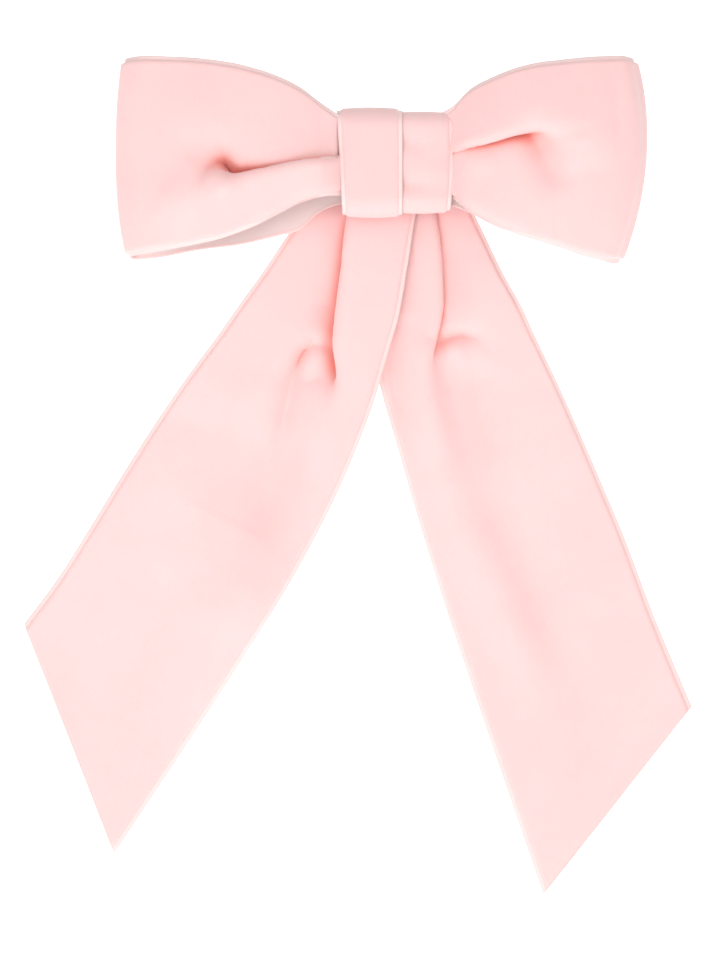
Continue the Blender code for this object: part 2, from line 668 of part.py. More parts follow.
def make_tail_fold(velvet):
    """The upper part of the tail ribbon: gathered and folded over behind the knot, then fanning out."""
    middle = (TAIL_FRONT_MIDDLE + TAIL_BACK_MIDDLE) / 2
    radius = (TAIL_BACK_MIDDLE - TAIL_FRONT_MIDDLE) / 2
    bottom = FOLD_CLEARANCE - TAIL_HINGE_DROP
    heights = [bottom + (TAIL_TOP - bottom) * k / 6 for k in range(7)]
    left_outer, left_inner = (edge[0][0] for edge in tail_edges(LEFT_TAIL))
    right_outer, right_inner = (edge[0][0] for edge in tail_edges(RIGHT_TAIL))

    def edge(start, end, fan, z):
        return start + (end - start) * through(fan, z)

    rows = []
    for z in heights:
        a = edge(-TAIL_PINCH, left_outer, OUTER_FAN, z)
        b = edge(TAIL_PINCH, left_inner, INNER_FAN, z)
        rows.append((TAIL_FRONT_MIDDLE, z, a, b))
    for k in range(1, 6):
        turn = math.pi - math.pi * k / 6
        y, z = middle + radius * math.cos(turn), TAIL_TOP + radius * math.sin(turn)
        rows.append((y, z, -TAIL_PINCH, TAIL_PINCH))
    for z in reversed(heights):
        a = edge(-TAIL_PINCH, right_inner, INNER_FAN, z)
        b = edge(TAIL_PINCH, right_outer, OUTER_FAN, z)
        rows.append((TAIL_BACK_MIDDLE, z, a, b))
    grid = [[(a + (b - a) * j / 4, y, z) for j in range(5)] for y, z, a, b in rows]
    sheet("tail_fold", grid, RIBBON_THICK, velvet)


def tail_rows(stations, depth, per_span=3, across=4):
    """Rows of points across a tail, from the hinge line to the cut."""
    outer, inner = tail_edges(stations)
    rows = []
    ends = (spline([(x, 0, z) for x, z in edge], per_span) for edge in (outer, inner))
    for a, b in zip(*ends):
        row = []
        for j in range(across + 1):
            p = a + (b - a) * j / across
            row.append((p.x, depth(p.z), p.z))
        rows.append(row)
    return rows


def make_tails(velvet):
    """The two hanging tails, each on an empty on the line where its ribbon bends below the knot."""
    def front(z):
        return TAIL_FRONT_MIDDLE - 1.6 * eased(-z, 28, 55) + 3.0 * eased(-z, 70, 170)

    def back(z):
        return TAIL_BACK_MIDDLE + 1.0 * eased(-z, 28, 60) - 2.0 * eased(-z, 80, 185)

    for name, stations, depth in (("left_tail", LEFT_TAIL, front), ("right_tail", RIGHT_TAIL, back)):
        hinge = bpy.data.objects.new(name + "_hinge", None)
        hinge.location = Vector((0, depth(-TAIL_HINGE_DROP), -TAIL_HINGE_DROP)) * MM
        bpy.context.scene.collection.objects.link(hinge)
        bpy.context.view_layer.update()
        tail = sheet(name, tail_rows(stations, depth), RIBBON_THICK, velvet)
        tail.parent = hinge
        tail.matrix_parent_inverse = hinge.matrix_world.inverted()


def make_glue(glue):
    """Two pads of hot glue: the tails to the back of the knot, and the plate to the tails."""
    half = GLUE_HALF_LENGTH
    top = PLATE_WIDTH / 2 - CLIP_GLUE_MARGIN
    strip(
        "clip_glue",
        -half,
        half,
        lambda x: plate_y(x) + CLIP_GLUE_MIDDLE - PLATE_MIDDLE,
        lambda x: rounded_end(x, -half, half, top, 2.5),
        GLUE_THICK,
        12,
        glue,
    )
    strip(
        "knot_glue",
        -half,
        half,
        lambda x: KNOT_GLUE_MIDDLE,
        lambda x: rounded_end(x, -half, half, KNOT_GLUE_HALF_HEIGHT, 4.0),
        GLUE_THICK,
        12,
        glue,
    )


def main():
    for old in list(bpy.data.objects):
        bpy.data.objects.remove(old)
    steel = material("nickel_plated_steel", (0.72, 0.71, 0.69), 0.28, 1.0)
    velvet = material("pink_velvet", (0.96, 0.66, 0.63), 0.85)
    thread = material("pink_thread", (0.93, 0.70, 0.68), 0.7)
    glue = material("hot_glue", (0.9, 0.88, 0.8), 0.4)
    make_plate(steel)
    make_pin(steel)
    make_bar(steel)
    make_latch(steel)
    make_arm(steel)
    make_loops(velvet)
    make_wrap(velvet)
    make_thread(thread)
    make_tail_fold(velvet)
    make_tails(velvet)
    make_glue(glue)


main()
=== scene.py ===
"""Looks of the velvet bow barrette: ribbons, metal clip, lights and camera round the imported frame.

The frame's axes hold: the bow faces -Y, +Z is up, +X is to the right. The ribbons' sizes and tables are
in millimetres, and MM turns them into metres when a mesh is made. All else is in metres.
"""

import math

import bmesh
import bpy
import numpy as np
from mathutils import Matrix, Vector


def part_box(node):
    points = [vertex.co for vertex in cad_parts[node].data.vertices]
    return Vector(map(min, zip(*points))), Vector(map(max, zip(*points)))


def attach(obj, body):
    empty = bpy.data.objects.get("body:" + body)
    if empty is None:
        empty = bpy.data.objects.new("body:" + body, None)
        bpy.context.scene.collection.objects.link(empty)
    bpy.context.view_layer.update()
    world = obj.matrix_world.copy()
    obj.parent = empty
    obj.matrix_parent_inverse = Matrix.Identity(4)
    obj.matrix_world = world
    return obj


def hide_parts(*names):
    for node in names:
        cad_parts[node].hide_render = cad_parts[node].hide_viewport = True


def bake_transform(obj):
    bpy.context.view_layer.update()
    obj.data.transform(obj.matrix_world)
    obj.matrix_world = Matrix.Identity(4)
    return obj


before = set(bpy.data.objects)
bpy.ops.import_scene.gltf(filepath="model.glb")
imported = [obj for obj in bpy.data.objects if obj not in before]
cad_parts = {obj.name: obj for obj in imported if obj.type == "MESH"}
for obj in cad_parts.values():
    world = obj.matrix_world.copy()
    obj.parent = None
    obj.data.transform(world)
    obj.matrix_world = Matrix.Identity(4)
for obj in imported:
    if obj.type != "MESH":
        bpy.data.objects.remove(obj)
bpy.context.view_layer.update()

MM = 0.001
UP = np.array((0.0, 0.0, 1.0))
FORWARD = np.array((0.0, -1.0, 0.0))


def node_mm(name):
    """A CAD node's lowest and highest corner in millimetres."""
    low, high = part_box(name)
    return np.array(low) / MM, np.array(high) / MM


RIBBON = 50.0  # width of the wide ribbon
WRAP = 16.5  # width of the knot's ribbon
SELVEDGE = 1.0  # width of the woven edge
PILE = 0.95  # height of the pile on the wide ribbon
KNOT_PILE = 0.4  # height of the pile on the knot's ribbon
CLOTH = 0.12  # half the ground cloth's thickness
COLUMN_STEP = 0.7  # between a mesh's columns, across a ribbon
LOOP_STEP = 0.9  # between the loops' mesh rows
TAIL_STEP = 0.95  # between the tails' mesh rows

# Depths of the ribbon layers, as y, taken from the CAD nodes of the knot and of the tails' fold.
WRAP_LOW, WRAP_HIGH = node_mm("knot_wrap")
FOLD_LOW, FOLD_HIGH = node_mm("tail_fold")
LOOP_BACK = WRAP_HIGH[1] - 3.5
LOOP_FRONT = LOOP_BACK - 5.0
TAIL_FRONT = FOLD_LOW[1] + 0.6
TAIL_BACK = FOLD_HIGH[1] - 0.6

LOOP_END_BACK = 3.2  # how far the loops' ends lie behind the middle between their layers
LOOP_DIVE = 6.5  # how far the layer under a loop's crease sinks
LOOP_CROWN = 3.4  # how far a loop bulges along its middle
LOOP_CURL = 1.5  # how far the lower half of a back layer comes forward
SMALL_TURN = 3.2  # length of ribbon in the bend of the loops' small pleat
TAIL_DIVE = 2.8  # how far the layer under a tail's pleat sinks
TAIL_WAVE = 0.5  # height of the tails' slight waves

# How far the knot's first turn lies inside its CAD node, and how the turns are wound.
KNOT_FRONT, KNOT_BACK, KNOT_TOP = 2.3, 1.9, 3.7
KNOT_DROP = 0.35  # how much lower than its CAD node the knot lies
KNOT_CORNER = 2.8  # radius of the bends
KNOT_PITCH = 1.1  # how far out each turn goes
KNOT_CROWN = 0.5  # bulge across the knot's ribbon
KNOT_ROWS = 210
FIRST_TURN_X, SECOND_TURN_X = 6.5, -6.35  # middles of the inner and the outer turn

PILE_SLOT, EDGE_SLOT, BACK_SLOT = 0, 1, 2  # a ribbon's materials


# ---- curves and cross-sections ------------------------------------------------------------------


def through(places, values, at):
    """Smooth curve through values given at rising places, read at the places in at; level outside."""
    places = np.asarray(places, float)
    values = np.asarray(values, float)
    if values.ndim == 1:
        return through(places, values[:, None], at)[:, 0]
    at = np.clip(np.asarray(at, float), places[0], places[-1])
    slopes = np.empty_like(values)
    run = np.diff(places)[:, None]
    rise = np.diff(values, axis=0) / run
    slopes[1:-1] = (rise[:-1] * run[1:] + rise[1:] * run[:-1]) / (run[1:] + run[:-1])
    slopes[0], slopes[-1] = rise[0], rise[-1]
    i = np.clip(np.searchsorted(places, at, "right") - 1, 0, len(places) - 2)
    h = (places[i + 1] - places[i])[:, None]
    t = ((at - places[i]) / (places[i + 1] - places[i]))[:, None]
    t2, t3 = t * t, t * t * t
    here = values[i] * (2 * t3 - 3 * t2 + 1) + slopes[i] * h * (t3 - 2 * t2 + t)
    return here + values[i + 1] * (3 * t2 - 2 * t3) + slopes[i + 1] * h * (t3 - t2)


def smooth(x, low, high):
    """0 up to low, 1 from high on, and an easy rise between."""
    t = np.clip((x - low) / (high - low), 0, 1)
    return t * t * (3 - 2 * t)


def running_sum(values, places):
    """Integral of values over places, from 0."""
    steps = (values[1:] + values[:-1]) / 2 * np.diff(places)
    return np.concatenate(([0.0], np.cumsum(steps)))


def pleat_angle(a, centre, width, turn):
    """Angle of the ribbon's tangent in a pleat: half a turn over width, easing in and out over turn."""
    start = smooth(a, centre - width / 2 - turn / 2, centre - width / 2 + turn / 2)
    end = smooth(a, centre + width / 2 - turn / 2, centre + width / 2 + turn / 2)
    return math.pi * 0.99 * (start - end)


def pleat_width(lost, turn):
    """Width of the pleat that takes up the given length of ribbon, found by halving."""
    if lost < 0.01:
        return 0.0
    a = np.linspace(-40, 40, 801)
    low, high = 0.0, 40.0
    for _ in range(22):
        middle = (low + high) / 2
        taken = running_sum(1 - np.cos(pleat_angle(a, 0, middle, turn)), a)[-1]
        low, high = (middle, high) if taken < lost else (low, middle)
    return middle


def across(width):
    """Places across a ribbon: close together at the selvedges and the pile's edge, even between."""
    woven_part = [0, SELVEDGE * 0.5, SELVEDGE * 0.9, SELVEDGE]
    pile_edge = [SELVEDGE + 0.12, SELVEDGE + 0.3, SELVEDGE + 0.6]
    edge = np.array(woven_part + pile_edge)
    inner = np.linspace(SELVEDGE + 1.1, width - SELVEDGE - 1.1, int(width / COLUMN_STEP))
    return np.concatenate((edge, inner, width - edge[::-1]))


def folded(a, pleats, dive):
    """Place across (0 to 1) and height of each point of a cross-section with pleats in it.

    pleats holds (centre, lost length, turn, side): side +1 puts what lies beyond the pleat in front.
    The layer that runs under a pleat sinks by dive as it gets there.
    """
    fine = np.linspace(a[0], a[-1], 1201)
    turned = np.zeros_like(fine)
    for centre, lost, turn, side in pleats:
        turned += side * pleat_angle(fine, centre, pleat_width(lost, turn), turn)
    over = running_sum(np.cos(turned), fine)
    height = running_sum(np.sin(turned), fine)
    height -= height[-1] * over / over[-1]
    for centre, lost, turn, side in pleats:
        under = centre - side * (pleat_width(lost, turn) / 2 + turn * 0.3)
        height -= dive * abs(side) * min(1, lost / 6) * np.exp(-(((fine - under) / (turn * 0.9)) ** 2))
    return np.interp(a, fine, over / over[-1]), np.interp(a, fine, height)


def surface(first, second, forward, a, pleats, gain, dive=0.0):
    """Middle surface between two edges, as a grid: one row of points for each station.

    first, second and forward are arrays of points and unit vectors, one for each station; pleats holds
    an array of (centre, lost, turn) and one of sides for each pleat; gain scales the folds' height, and
    dive is how far the layer under a pleat sinks.
    """
    dives = np.broadcast_to(dive, len(first))
    rows = []
    for i in range(len(first)):
        here = [(*table[i], sides[i]) for table, sides in pleats]
        over, height = folded(a, here, dives[i])
        row = first[i] + (second[i] - first[i]) * over[:, None]
        rows.append(row + forward[i] * (height * gain[i])[:, None])
    return np.array(rows)


def swell(grid, forward, features):
    """Moves a surface forward by soft ridges and hollows, each a line of (x, z), a height and a spread.

    Each one starts low, is full along its first half and dies away towards the end of its line.
    """
    x, z = grid[..., 0], grid[..., 2]
    for line, height, spread in features:
        points = np.array(line, float)
        runs = np.diff(points, axis=0)
        lengths = np.hypot(*runs.T)
        before = np.concatenate(([0], np.cumsum(lengths)))
        nearest = np.full(x.shape, 1e9)
        along = np.zeros(x.shape)
        for point, run, length, start in zip(points, runs, lengths, before):
            t = ((x - point[0]) * run[0] + (z - point[1]) * run[1]) / length**2
            t = np.clip(t, 0, 1)
            d = np.hypot(x - point[0] - t * run[0], z - point[1] - t * run[1])
            closer = d < nearest
            nearest = np.where(closer, d, nearest)
            along = np.where(closer, (start + t * length) / before[-1], along)
        taper = (0.35 + 0.65 * smooth(along, 0, 0.3)) * (1 - 0.95 * smooth(along, 0.5, 1.0))
        grid = grid + forward * (height * taper * np.exp(-((nearest / spread) ** 2)))[..., None]
    return grid


# ---- materials ----------------------------------------------------------------------------------


class Nodes:
    """A material's node tree, with short calls to add and join nodes."""

    def __init__(self, name):
        self.material = bpy.data.materials.new(name)
        self.material.use_nodes = True
        self.tree = self.material.node_tree
        self.shader = self.tree.nodes["Principled BSDF"]

    def add(self, kind, settings=None, **inputs):
        node = self.tree.nodes.new(kind)
        for key, value in (settings or {}).items():
            setattr(node, key, value)
        for key, value in inputs.items():
            self.feed(node, key.replace("_", " "), value)
        return node

    def feed(self, node, key, value):
        if isinstance(value, bpy.types.NodeSocket):
            self.tree.links.new(value, node.inputs[key])
        else:
            node.inputs[key].default_value = value

    def noise(self, scale, detail=2.0, roughness=0.5, vector=None):
        node = self.add("ShaderNodeTexNoise", Scale=scale, Detail=detail, Roughness=roughness)
        self.feed(node, "Vector", vector or self.place())
        return node.outputs["Fac"]

    def place(self):
        return self.add("ShaderNodeTexCoord").outputs["Object"]

    def ribbon_place(self):
        """Place on the ribbon in millimetres: X across it and Y along it."""
        return self.add("ShaderNodeAttribute", {"attribute_name": "ribbon_mm"}).outputs["Vector"]

    def ramp(self, value, stops):
        node = self.add("ShaderNodeValToRGB", Fac=value)
        node.color_ramp.elements[0].position = stops[0][0]
        node.color_ramp.elements[0].color = (*stops[0][1], 1)
        node.color_ramp.elements[1].position = stops[-1][0]
        node.color_ramp.elements[1].color = (*stops[-1][1], 1)
        for place, colour in stops[1:-1]:
            node.color_ramp.elements.new(place).color = (*colour, 1)
        return node.outputs["Color"]

    def bump(self, height, strength, distance, normal=None):
        node = self.add("ShaderNodeBump", Height=height, Strength=strength, Distance=distance)
        if normal:
            self.feed(node, "Normal", normal)
        return node.outputs["Normal"]

    def finish(self, **inputs):
        for key, value in inputs.items():
            self.feed(self.shader, key.replace("_", " "), value)
        return self.material


def velvet(name, light, deep):
    """Cut pile: fine fibres, soft patches where the nap leans, and a pale sheen at grazing angles.

    Deep in a fold the colour is painted darker and warmer from ambient occlusion: painted shade.
    """
    n = Nodes(name)
    nap = n.noise(55.0, 3.0, 0.55)
    fibre = n.noise(5200.0, 2.0, 0.7)
    mixed = n.add("ShaderNodeMix", {"data_type": "FLOAT"}, Factor=0.6, A=nap, B=fibre)
    colour = n.ramp(mixed.outputs["Result"], [(0.36, deep), (0.62, light)])
    # Painted shade: ambient occlusion darkens and warms the colour in the ribbon's creases and folds.
    free = n.add("ShaderNodeAmbientOcclusion", {"samples": 8, "only_local": True}, Distance=0.008)
    painted_crease_shade = n.ramp(
        free.outputs["AO"],
        [(0.3, (0.99, 0.66, 0.58)), (0.7, (1.0, 0.95, 0.94)), (0.95, (1.0, 1.0, 1.0))],
    )
    colour = n.add("ShaderNodeMixRGB", {"blend_type": "MULTIPLY"}, Fac=1.0, Color1=colour, Color2=painted_crease_shade)
    normal = n.bump(nap, 0.05, 0.003)
    normal = n.bump(fibre, 0.35, 0.00025, normal)
    return n.finish(
        Base_Color=colour.outputs["Color"],
        Roughness=0.95,
        Normal=normal,
        Specular_IOR_Level=0.15,
        Subsurface_Weight=0.25,
        Subsurface_Radius=(1.0, 0.3, 0.22),
        Subsurface_Scale=0.0025,
        Sheen_Weight=0.7,
        Sheen_Roughness=0.45,
        Sheen_Tint=(1.0, 0.9, 0.89, 1.0),
    )


def woven(name, light, deep, pitch, roughness=0.7):
    """Plain tight weave, with ribs across the ribbon."""
    n = Nodes(name)
    place = n.ribbon_place()
    ribs = n.add(
        "ShaderNodeTexWave",
        {"wave_type": "BANDS", "bands_direction": "Y", "wave_profile": "SIN"},
        Vector=place,
        Scale=math.pi / 10 / pitch,
        Distortion=0.6,
        Detail=1.0,
    ).outputs["Fac"]
    warp = n.add(
        "ShaderNodeTexWave",
        {"wave_type": "BANDS", "bands_direction": "X", "wave_profile": "SIN"},
        Vector=place,
        Scale=math.pi / 10 / (pitch * 0.8),
        Distortion=0.6,
        Detail=1.0,
    ).outputs["Fac"]
    weave = n.add("ShaderNodeMath", {"operation": "MULTIPLY"})
    n.feed(weave, 0, ribs)
    n.feed(weave, 1, warp)
    cloudy = n.noise(140.0, 2.0)
    mixed = n.add("ShaderNodeMix", {"data_type": "FLOAT"}, Factor=0.4, A=weave.outputs[0], B=cloudy)
    colour = n.ramp(mixed.outputs["Result"], [(0.15, deep), (0.65, light)])
    normal = n.bump(weave.outputs[0], 0.5, 0.00012)
    return n.finish(
        Base_Color=colour,
        Roughness=roughness,
        Normal=normal,
        Specular_IOR_Level=0.3,
        Sheen_Weight=0.25,
        Sheen_Roughness=0.4,
    )


def plated(name):
    """Nickel-plated spring steel, brushed along its length, with faint wear."""
    n = Nodes(name)
    stretch = n.add(
        "ShaderNodeMapping", {"vector_type": "TEXTURE"}, Vector=n.place(), Scale=(12.0, 1.0, 1.0)
    )
    brushed = n.noise(2600.0, 2.0, 0.6, stretch.outputs["Vector"])
    clouds = n.noise(180.0, 3.0)
    colour = n.ramp(clouds, [(0.3, (0.46, 0.455, 0.44)), (0.7, (0.6, 0.59, 0.575))])
    rough = n.add("ShaderNodeMapRange", Value=brushed, To_Min=0.2, To_Max=0.36).outputs["Result"]
    normal = n.bump(brushed, 0.08, 0.00006)
    return n.finish(Base_Color=colour, Metallic=1.0, Roughness=rough, Normal=normal)


def glued(name):
    """Hot glue: cloudy, waxy and a little uneven."""
    n = Nodes(name)
    clouds = n.noise(260.0, 3.0)
    colour = n.ramp(clouds, [(0.35, (0.80, 0.76, 0.68)), (0.7, (0.90, 0.88, 0.82))])
    normal = n.bump(clouds, 0.4, 0.0006)
    return n.finish(
        Base_Color=colour, Roughness=0.35, Normal=normal, Subsurface_Weight=0.3, Subsurface_Scale=0.001
    )


def twisted(name, colour):
    """Sewing thread, with its twist as slanting ridges."""
    n = Nodes(name)
    twist = n.add(
        "ShaderNodeTexWave", {"bands_direction": "DIAGONAL"}, Vector=n.place(), Scale=900.0
    ).outputs["Fac"]
    deep = tuple(c * 0.86 for c in colour)
    return n.finish(
        Base_Color=n.ramp(twist, [(0.2, deep), (0.7, colour)]),
        Roughness=0.55,
        Normal=n.bump(twist, 0.5, 0.0001),
    )


# ---- ribbon meshes ------------------------------------------------------------------------------


def unit(v):
    return v / np.maximum(np.linalg.norm(v, axis=-1, keepdims=True), 1e-12)


def grid_normals(grid, closed):
    """Unit normals of a grid of points; rows follow each other round when it is closed."""
    if closed:
        along = np.roll(grid, -1, 0) - np.roll(grid, 1, 0)
    else:
        along = np.gradient(grid, axis=0)
    return unit(np.cross(np.gradient(grid, axis=1), along))


def ribbon_mesh(name, grid, a, width, stuffs, closed=False, pile=PILE, squash=None, flip=False):
    """A ribbon with a cut pile on its face, selvedges along both edges and a woven back.

    grid is the middle surface, a the place across of its columns, squash how much of its thickness each
    row keeps, and stuffs the pile, selvedge and back materials. flip puts the pile on the other side.
    """
    rows, columns = grid.shape[:2]
    squash = np.ones(rows) if squash is None else squash
    normals = grid_normals(grid, closed) * (-1 if flip else 1)
    from_edge = np.minimum(a, width - a)
    raised = CLOTH + pile * np.sqrt(smooth(from_edge, SELVEDGE - 0.05, SELVEDGE + 0.7))
    face = grid + normals * (raised[None, :] * squash[:, None])[..., None]
    back = grid - normals * (CLOTH * squash[:, None, None])
    points = np.concatenate((face.reshape(-1, 3), back.reshape(-1, 3))) * MM
    count = rows * columns
    faces, slots = [], []
    for i in range(rows if closed else rows - 1):
        k = (i + 1) % rows
        for j in range(columns - 1):
            p, q = i * columns + j, k * columns + j
            on_edge = min(from_edge[j], from_edge[j + 1]) < SELVEDGE - 0.01
            faces.append((p, q, q + 1, p + 1))
            slots.append(EDGE_SLOT if on_edge else PILE_SLOT)
            faces.append((p + count, p + 1 + count, q + 1 + count, q + count))
            slots.append(EDGE_SLOT if on_edge else BACK_SLOT)
        for j in (0, columns - 1):
            p, q = i * columns + j, k * columns + j
            faces.append((p, p + count, q + count, q))
            slots.append(EDGE_SLOT)
    if not closed:
        for i in (0, rows - 1):
            for j in range(columns - 1):
                p = i * columns + j
                faces.append((p, p + 1, p + 1 + count, p + count))
                slots.append(BACK_SLOT)
    mesh = bpy.data.meshes.new(name)
    mesh.from_pydata(points.tolist(), [], faces)
    mesh.polygons.foreach_set("material_index", slots)
    for stuff in stuffs:
        mesh.materials.append(stuff)
    along = np.linalg.norm(np.diff(grid[:, columns // 2], axis=0), axis=1)
    along = np.concatenate(([0], np.cumsum(along)))
    places = np.zeros((rows, columns, 3), np.float32)
    places[..., 0] = a[None, :]
    places[..., 1] = along[:, None]
    both = np.concatenate((places.reshape(-1, 3), places.reshape(-1, 3)))
    ribbon_mm = mesh.attributes.new("ribbon_mm", "FLOAT_VECTOR", "POINT")
    ribbon_mm.data.foreach_set("vector", both.ravel())
    shell = bmesh.new()
    shell.from_mesh(mesh)
    bmesh.ops.recalc_face_normals(shell, faces=shell.faces)
    shell.to_mesh(mesh)
    shell.free()
    mesh.shade_smooth()
    made = bpy.data.objects.new(name, mesh)
    bpy.context.scene.collection.objects.link(made)
    return made


def resample(columns, spacing):
    """Closely spaced stations through chosen ones, which are rows of x, y, z and further values."""
    columns = np.asarray(columns, float)
    run = np.linalg.norm(np.diff(columns[:, :3], axis=0), axis=1)
    places = np.concatenate(([0], np.cumsum(run)))
    at = np.linspace(0, places[-1], int(places[-1] / spacing) + 1)
    return through(places, columns, at)


# ---- the bow's loops ----------------------------------------------------------------------------

# Each row: distance from the middle, depth, upper edge, lower edge, then centre, lost length and turn
# of the deep crease, lost length of the small pleat at the lower edge, and the folds' gain.
# The depth is counted forward from LOOP_FRONT for the front layer and from LOOP_BACK for the back one.
# A turn's rows, at a loop's end, hold the distance from the middle, the upper edge and the lower edge.
LEFT_FRONT = [
    (0.0, 0.0, 11.2, -9.5, 22.0, 20.0, 4.0, 9.0, 0.25),
    (8.0, 0.2, 11.4, -9.2, 23.2, 20.0, 4.0, 9.4, 0.25),
    (12.0, 1.4, 11.8, -9.0, 24.2, 20.0, 4.0, 9.2, 0.16),
    (14.8, 2.5, 12.2, -8.8, 25.2, 20.0, 4.0, 9.0, 0.2),
    (17.0, 3.2, 13.6, -8.9, 27.4, 19.8, 4.0, 7.8, 0.5),
    (19.5, 3.4, 15.3, -9.2, 29.4, 19.4, 4.0, 6.2, 0.8),
    (24.5, 4.5, 19.0, -10.9, 32.0, 17.0, 4.0, 3.1, 0.95),
    (29.6, 5.2, 21.6, -13.4, 33.3, 13.8, 4.0, 1.2, 0.95),
    (37.7, 5.8, 24.3, -17.4, 33.6, 8.6, 4.2, 0.0, 0.95),
    (41.4, 5.8, 25.2, -18.8, 33.4, 6.6, 4.6, 0.0, 0.9),
    (45.6, 5.6, 25.9, -20.2, 31.0, 2.8, 7.0, 0.0, 0.7),
    (50.7, 5.2, 26.5, -21.3, 32.0, 1.0, 11.0, 0.0, 0.5),
    (60.0, 3.4, 27.1, -22.8, 34.0, 0.3, 13.0, 0.0, 0.5),
    (67.0, 1.2, 27.4, -23.8, 34.0, 0.1, 14.0, 0.0, 0.5),
]
LEFT_TURN = [
    (70.2, 27.2, -24.2),
    (71.6, 27.0, -24.6),
    (70.2, 26.8, -25.0),
]
LEFT_BACK = [
    (66.0, -1.6, 25.2, -24.8, 27.0, 0.2, 12.0, 0.0, 0.5),
    (50.7, 0.6, 23.8, -22.6, 27.0, 1.8, 12.0, 0.0, 0.5),
    (40.3, 2.0, 22.0, -21.4, 27.0, 5.4, 8.0, 0.0, 0.5),
    (30.0, 2.4, 18.2, -19.0, 27.0, 11.6, 5.0, 0.0, 0.5),
    (25.0, 2.0, 15.8, -17.6, 27.0, 15.4, 5.0, 0.0, 0.5),
    (20.0, 1.0, 13.4, -13.2, 27.0, 22.2, 4.0, 0.0, 0.4),
    (14.8, -0.2, 10.8, -10.9, 27.0, 27.1, 4.0, 0.0, 0.3),
    (8.0, 0.0, 10.0, -10.5, 27.0, 27.5, 4.0, 1.0, 0.22),
]
RIGHT_FRONT = [
    (8.0, 0.1, 12.0, -9.6, 16.6, 17.0, 4.0, 11.4, 0.25),
    (12.0, 0.4, 12.8, -9.6, 16.7, 16.8, 4.0, 10.6, 0.16),
    (14.8, 1.4, 14.2, -9.6, 16.8, 16.6, 4.0, 9.6, 0.24),
    (19.4, 2.6, 18.6, -13.2, 18.7, 13.6, 4.0, 4.4, 0.85),
    (25.4, 3.7, 21.8, -16.6, 19.3, 10.0, 4.0, 1.6, 0.9),
    (32.5, 5.0, 24.4, -19.1, 18.8, 6.4, 4.6, 0.3, 0.8),
    (37.0, 5.4, 25.4, -20.6, 19.0, 3.6, 6.5, 0.1, 0.7),
    (42.0, 5.4, 26.0, -22.1, 20.0, 1.6, 9.0, 0.0, 0.6),
    (50.0, 4.6, 26.8, -24.2, 22.0, 0.4, 12.0, 0.0, 0.5),
    (56.0, 3.2, 27.2, -25.2, 24.0, 0.0, 12.0, 0.0, 0.5),
    (61.0, 1.4, 27.4, -25.8, 24.0, 0.0, 12.0, 0.0, 0.5),
]
RIGHT_TURN = [
    (62.8, 27.3, -26.0),
    (64.2, 27.1, -26.0),
    (62.8, 26.9, -26.0),
]
RIGHT_BACK = [
    (59.0, -3.4, 25.2, -25.2, 25.0, 0.2, 12.0, 0.0, 0.5),
    (46.0, -3.9, 23.8, -22.6, 25.0, 1.6, 10.0, 0.0, 0.5),
    (38.0, -3.9, 21.8, -20.4, 25.0, 6.6, 8.0, 0.0, 0.5),
    (28.0, -3.4, 17.8, -17.0, 25.0, 14.0, 5.0, 0.0, 0.5),
    (20.0, -1.4, 14.4, -13.2, 25.0, 21.2, 4.0, 0.0, 0.4),
    (14.8, -0.2, 11.0, -11.2, 25.0, 26.6, 4.0, 0.0, 0.3),
    (8.0, 0.0, 10.0, -10.5, 26.0, 27.5, 4.0, 1.0, 0.22),
]
BACK_MIDDLE = (11.2, -10.5, 26, 27.5, 4.0, 1.0, 0.22)  # upper edge onwards, at the middle of the back
OPEN_FOLDS = (30, 0, 13, 0, 0.4)  # centre onwards, where the ribbon lies open at a loop's end
END_DEPTHS = (-2.9, 0.0, 2.3)  # of a turn's rows, behind the line of the loops' ends
LOOP_SWELLS = [
    (
        [(-41.4, -3.2), (-43.6, -0.9), (-46.4, -0.6), (-48.3, -2.2), (-49.8, -5.0), (-52.0, -6.8)],
        -2.2,
        2.1,
    ),
    ([(-45.6, -5.0), (-42.0, -8.0)], 1.0, 3.2),
    ([(-38.0, 0.5), (-47.0, 2.2), (-54.0, 4.0), (-60.0, 1.5)], -1.8, 4.8),
    ([(-62.0, -8.0), (-50.0, -15.0)], 1.2, 6.5),
    ([(35.0, 6.6), (37.5, 3.0), (40.5, -3.0), (43.5, -9.5)], -2.4, 4.2),
    ([(19.0, -1.0), (27.0, 0.5)], 0.7, 2.6),
    ([(46.0, 8.0), (49.0, -4.0)], 1.2, 6.5),
]


def loop_stations():
    """The stations round the ring, as x, y, 0, upper z, lower z and the fold columns."""
    end_y = (LOOP_FRONT + LOOP_BACK) / 2 + LOOP_END_BACK
    stations = []

    def layer(rows, side, level):
        for x, out, top, low, *folds in rows:
            stations.append((side * x, level - out, 0, top, low, *folds))

    def turn(rows, side):
        for (x, top, low), depth in zip(rows, END_DEPTHS if side < 0 else END_DEPTHS[::-1]):
            stations.append((side * x, end_y + depth, 0, top, low, *OPEN_FOLDS))

    layer(LEFT_FRONT, -1, LOOP_FRONT)
    turn(LEFT_TURN, -1)
    layer(LEFT_BACK, -1, LOOP_BACK)
    stations.append((0, LOOP_BACK, 0, *BACK_MIDDLE))
    layer(RIGHT_BACK[::-1], 1, LOOP_BACK)
    turn(RIGHT_TURN[::-1], 1)
    layer(RIGHT_FRONT[::-1], 1, LOOP_FRONT)
    stations.append(stations[0])
    return stations


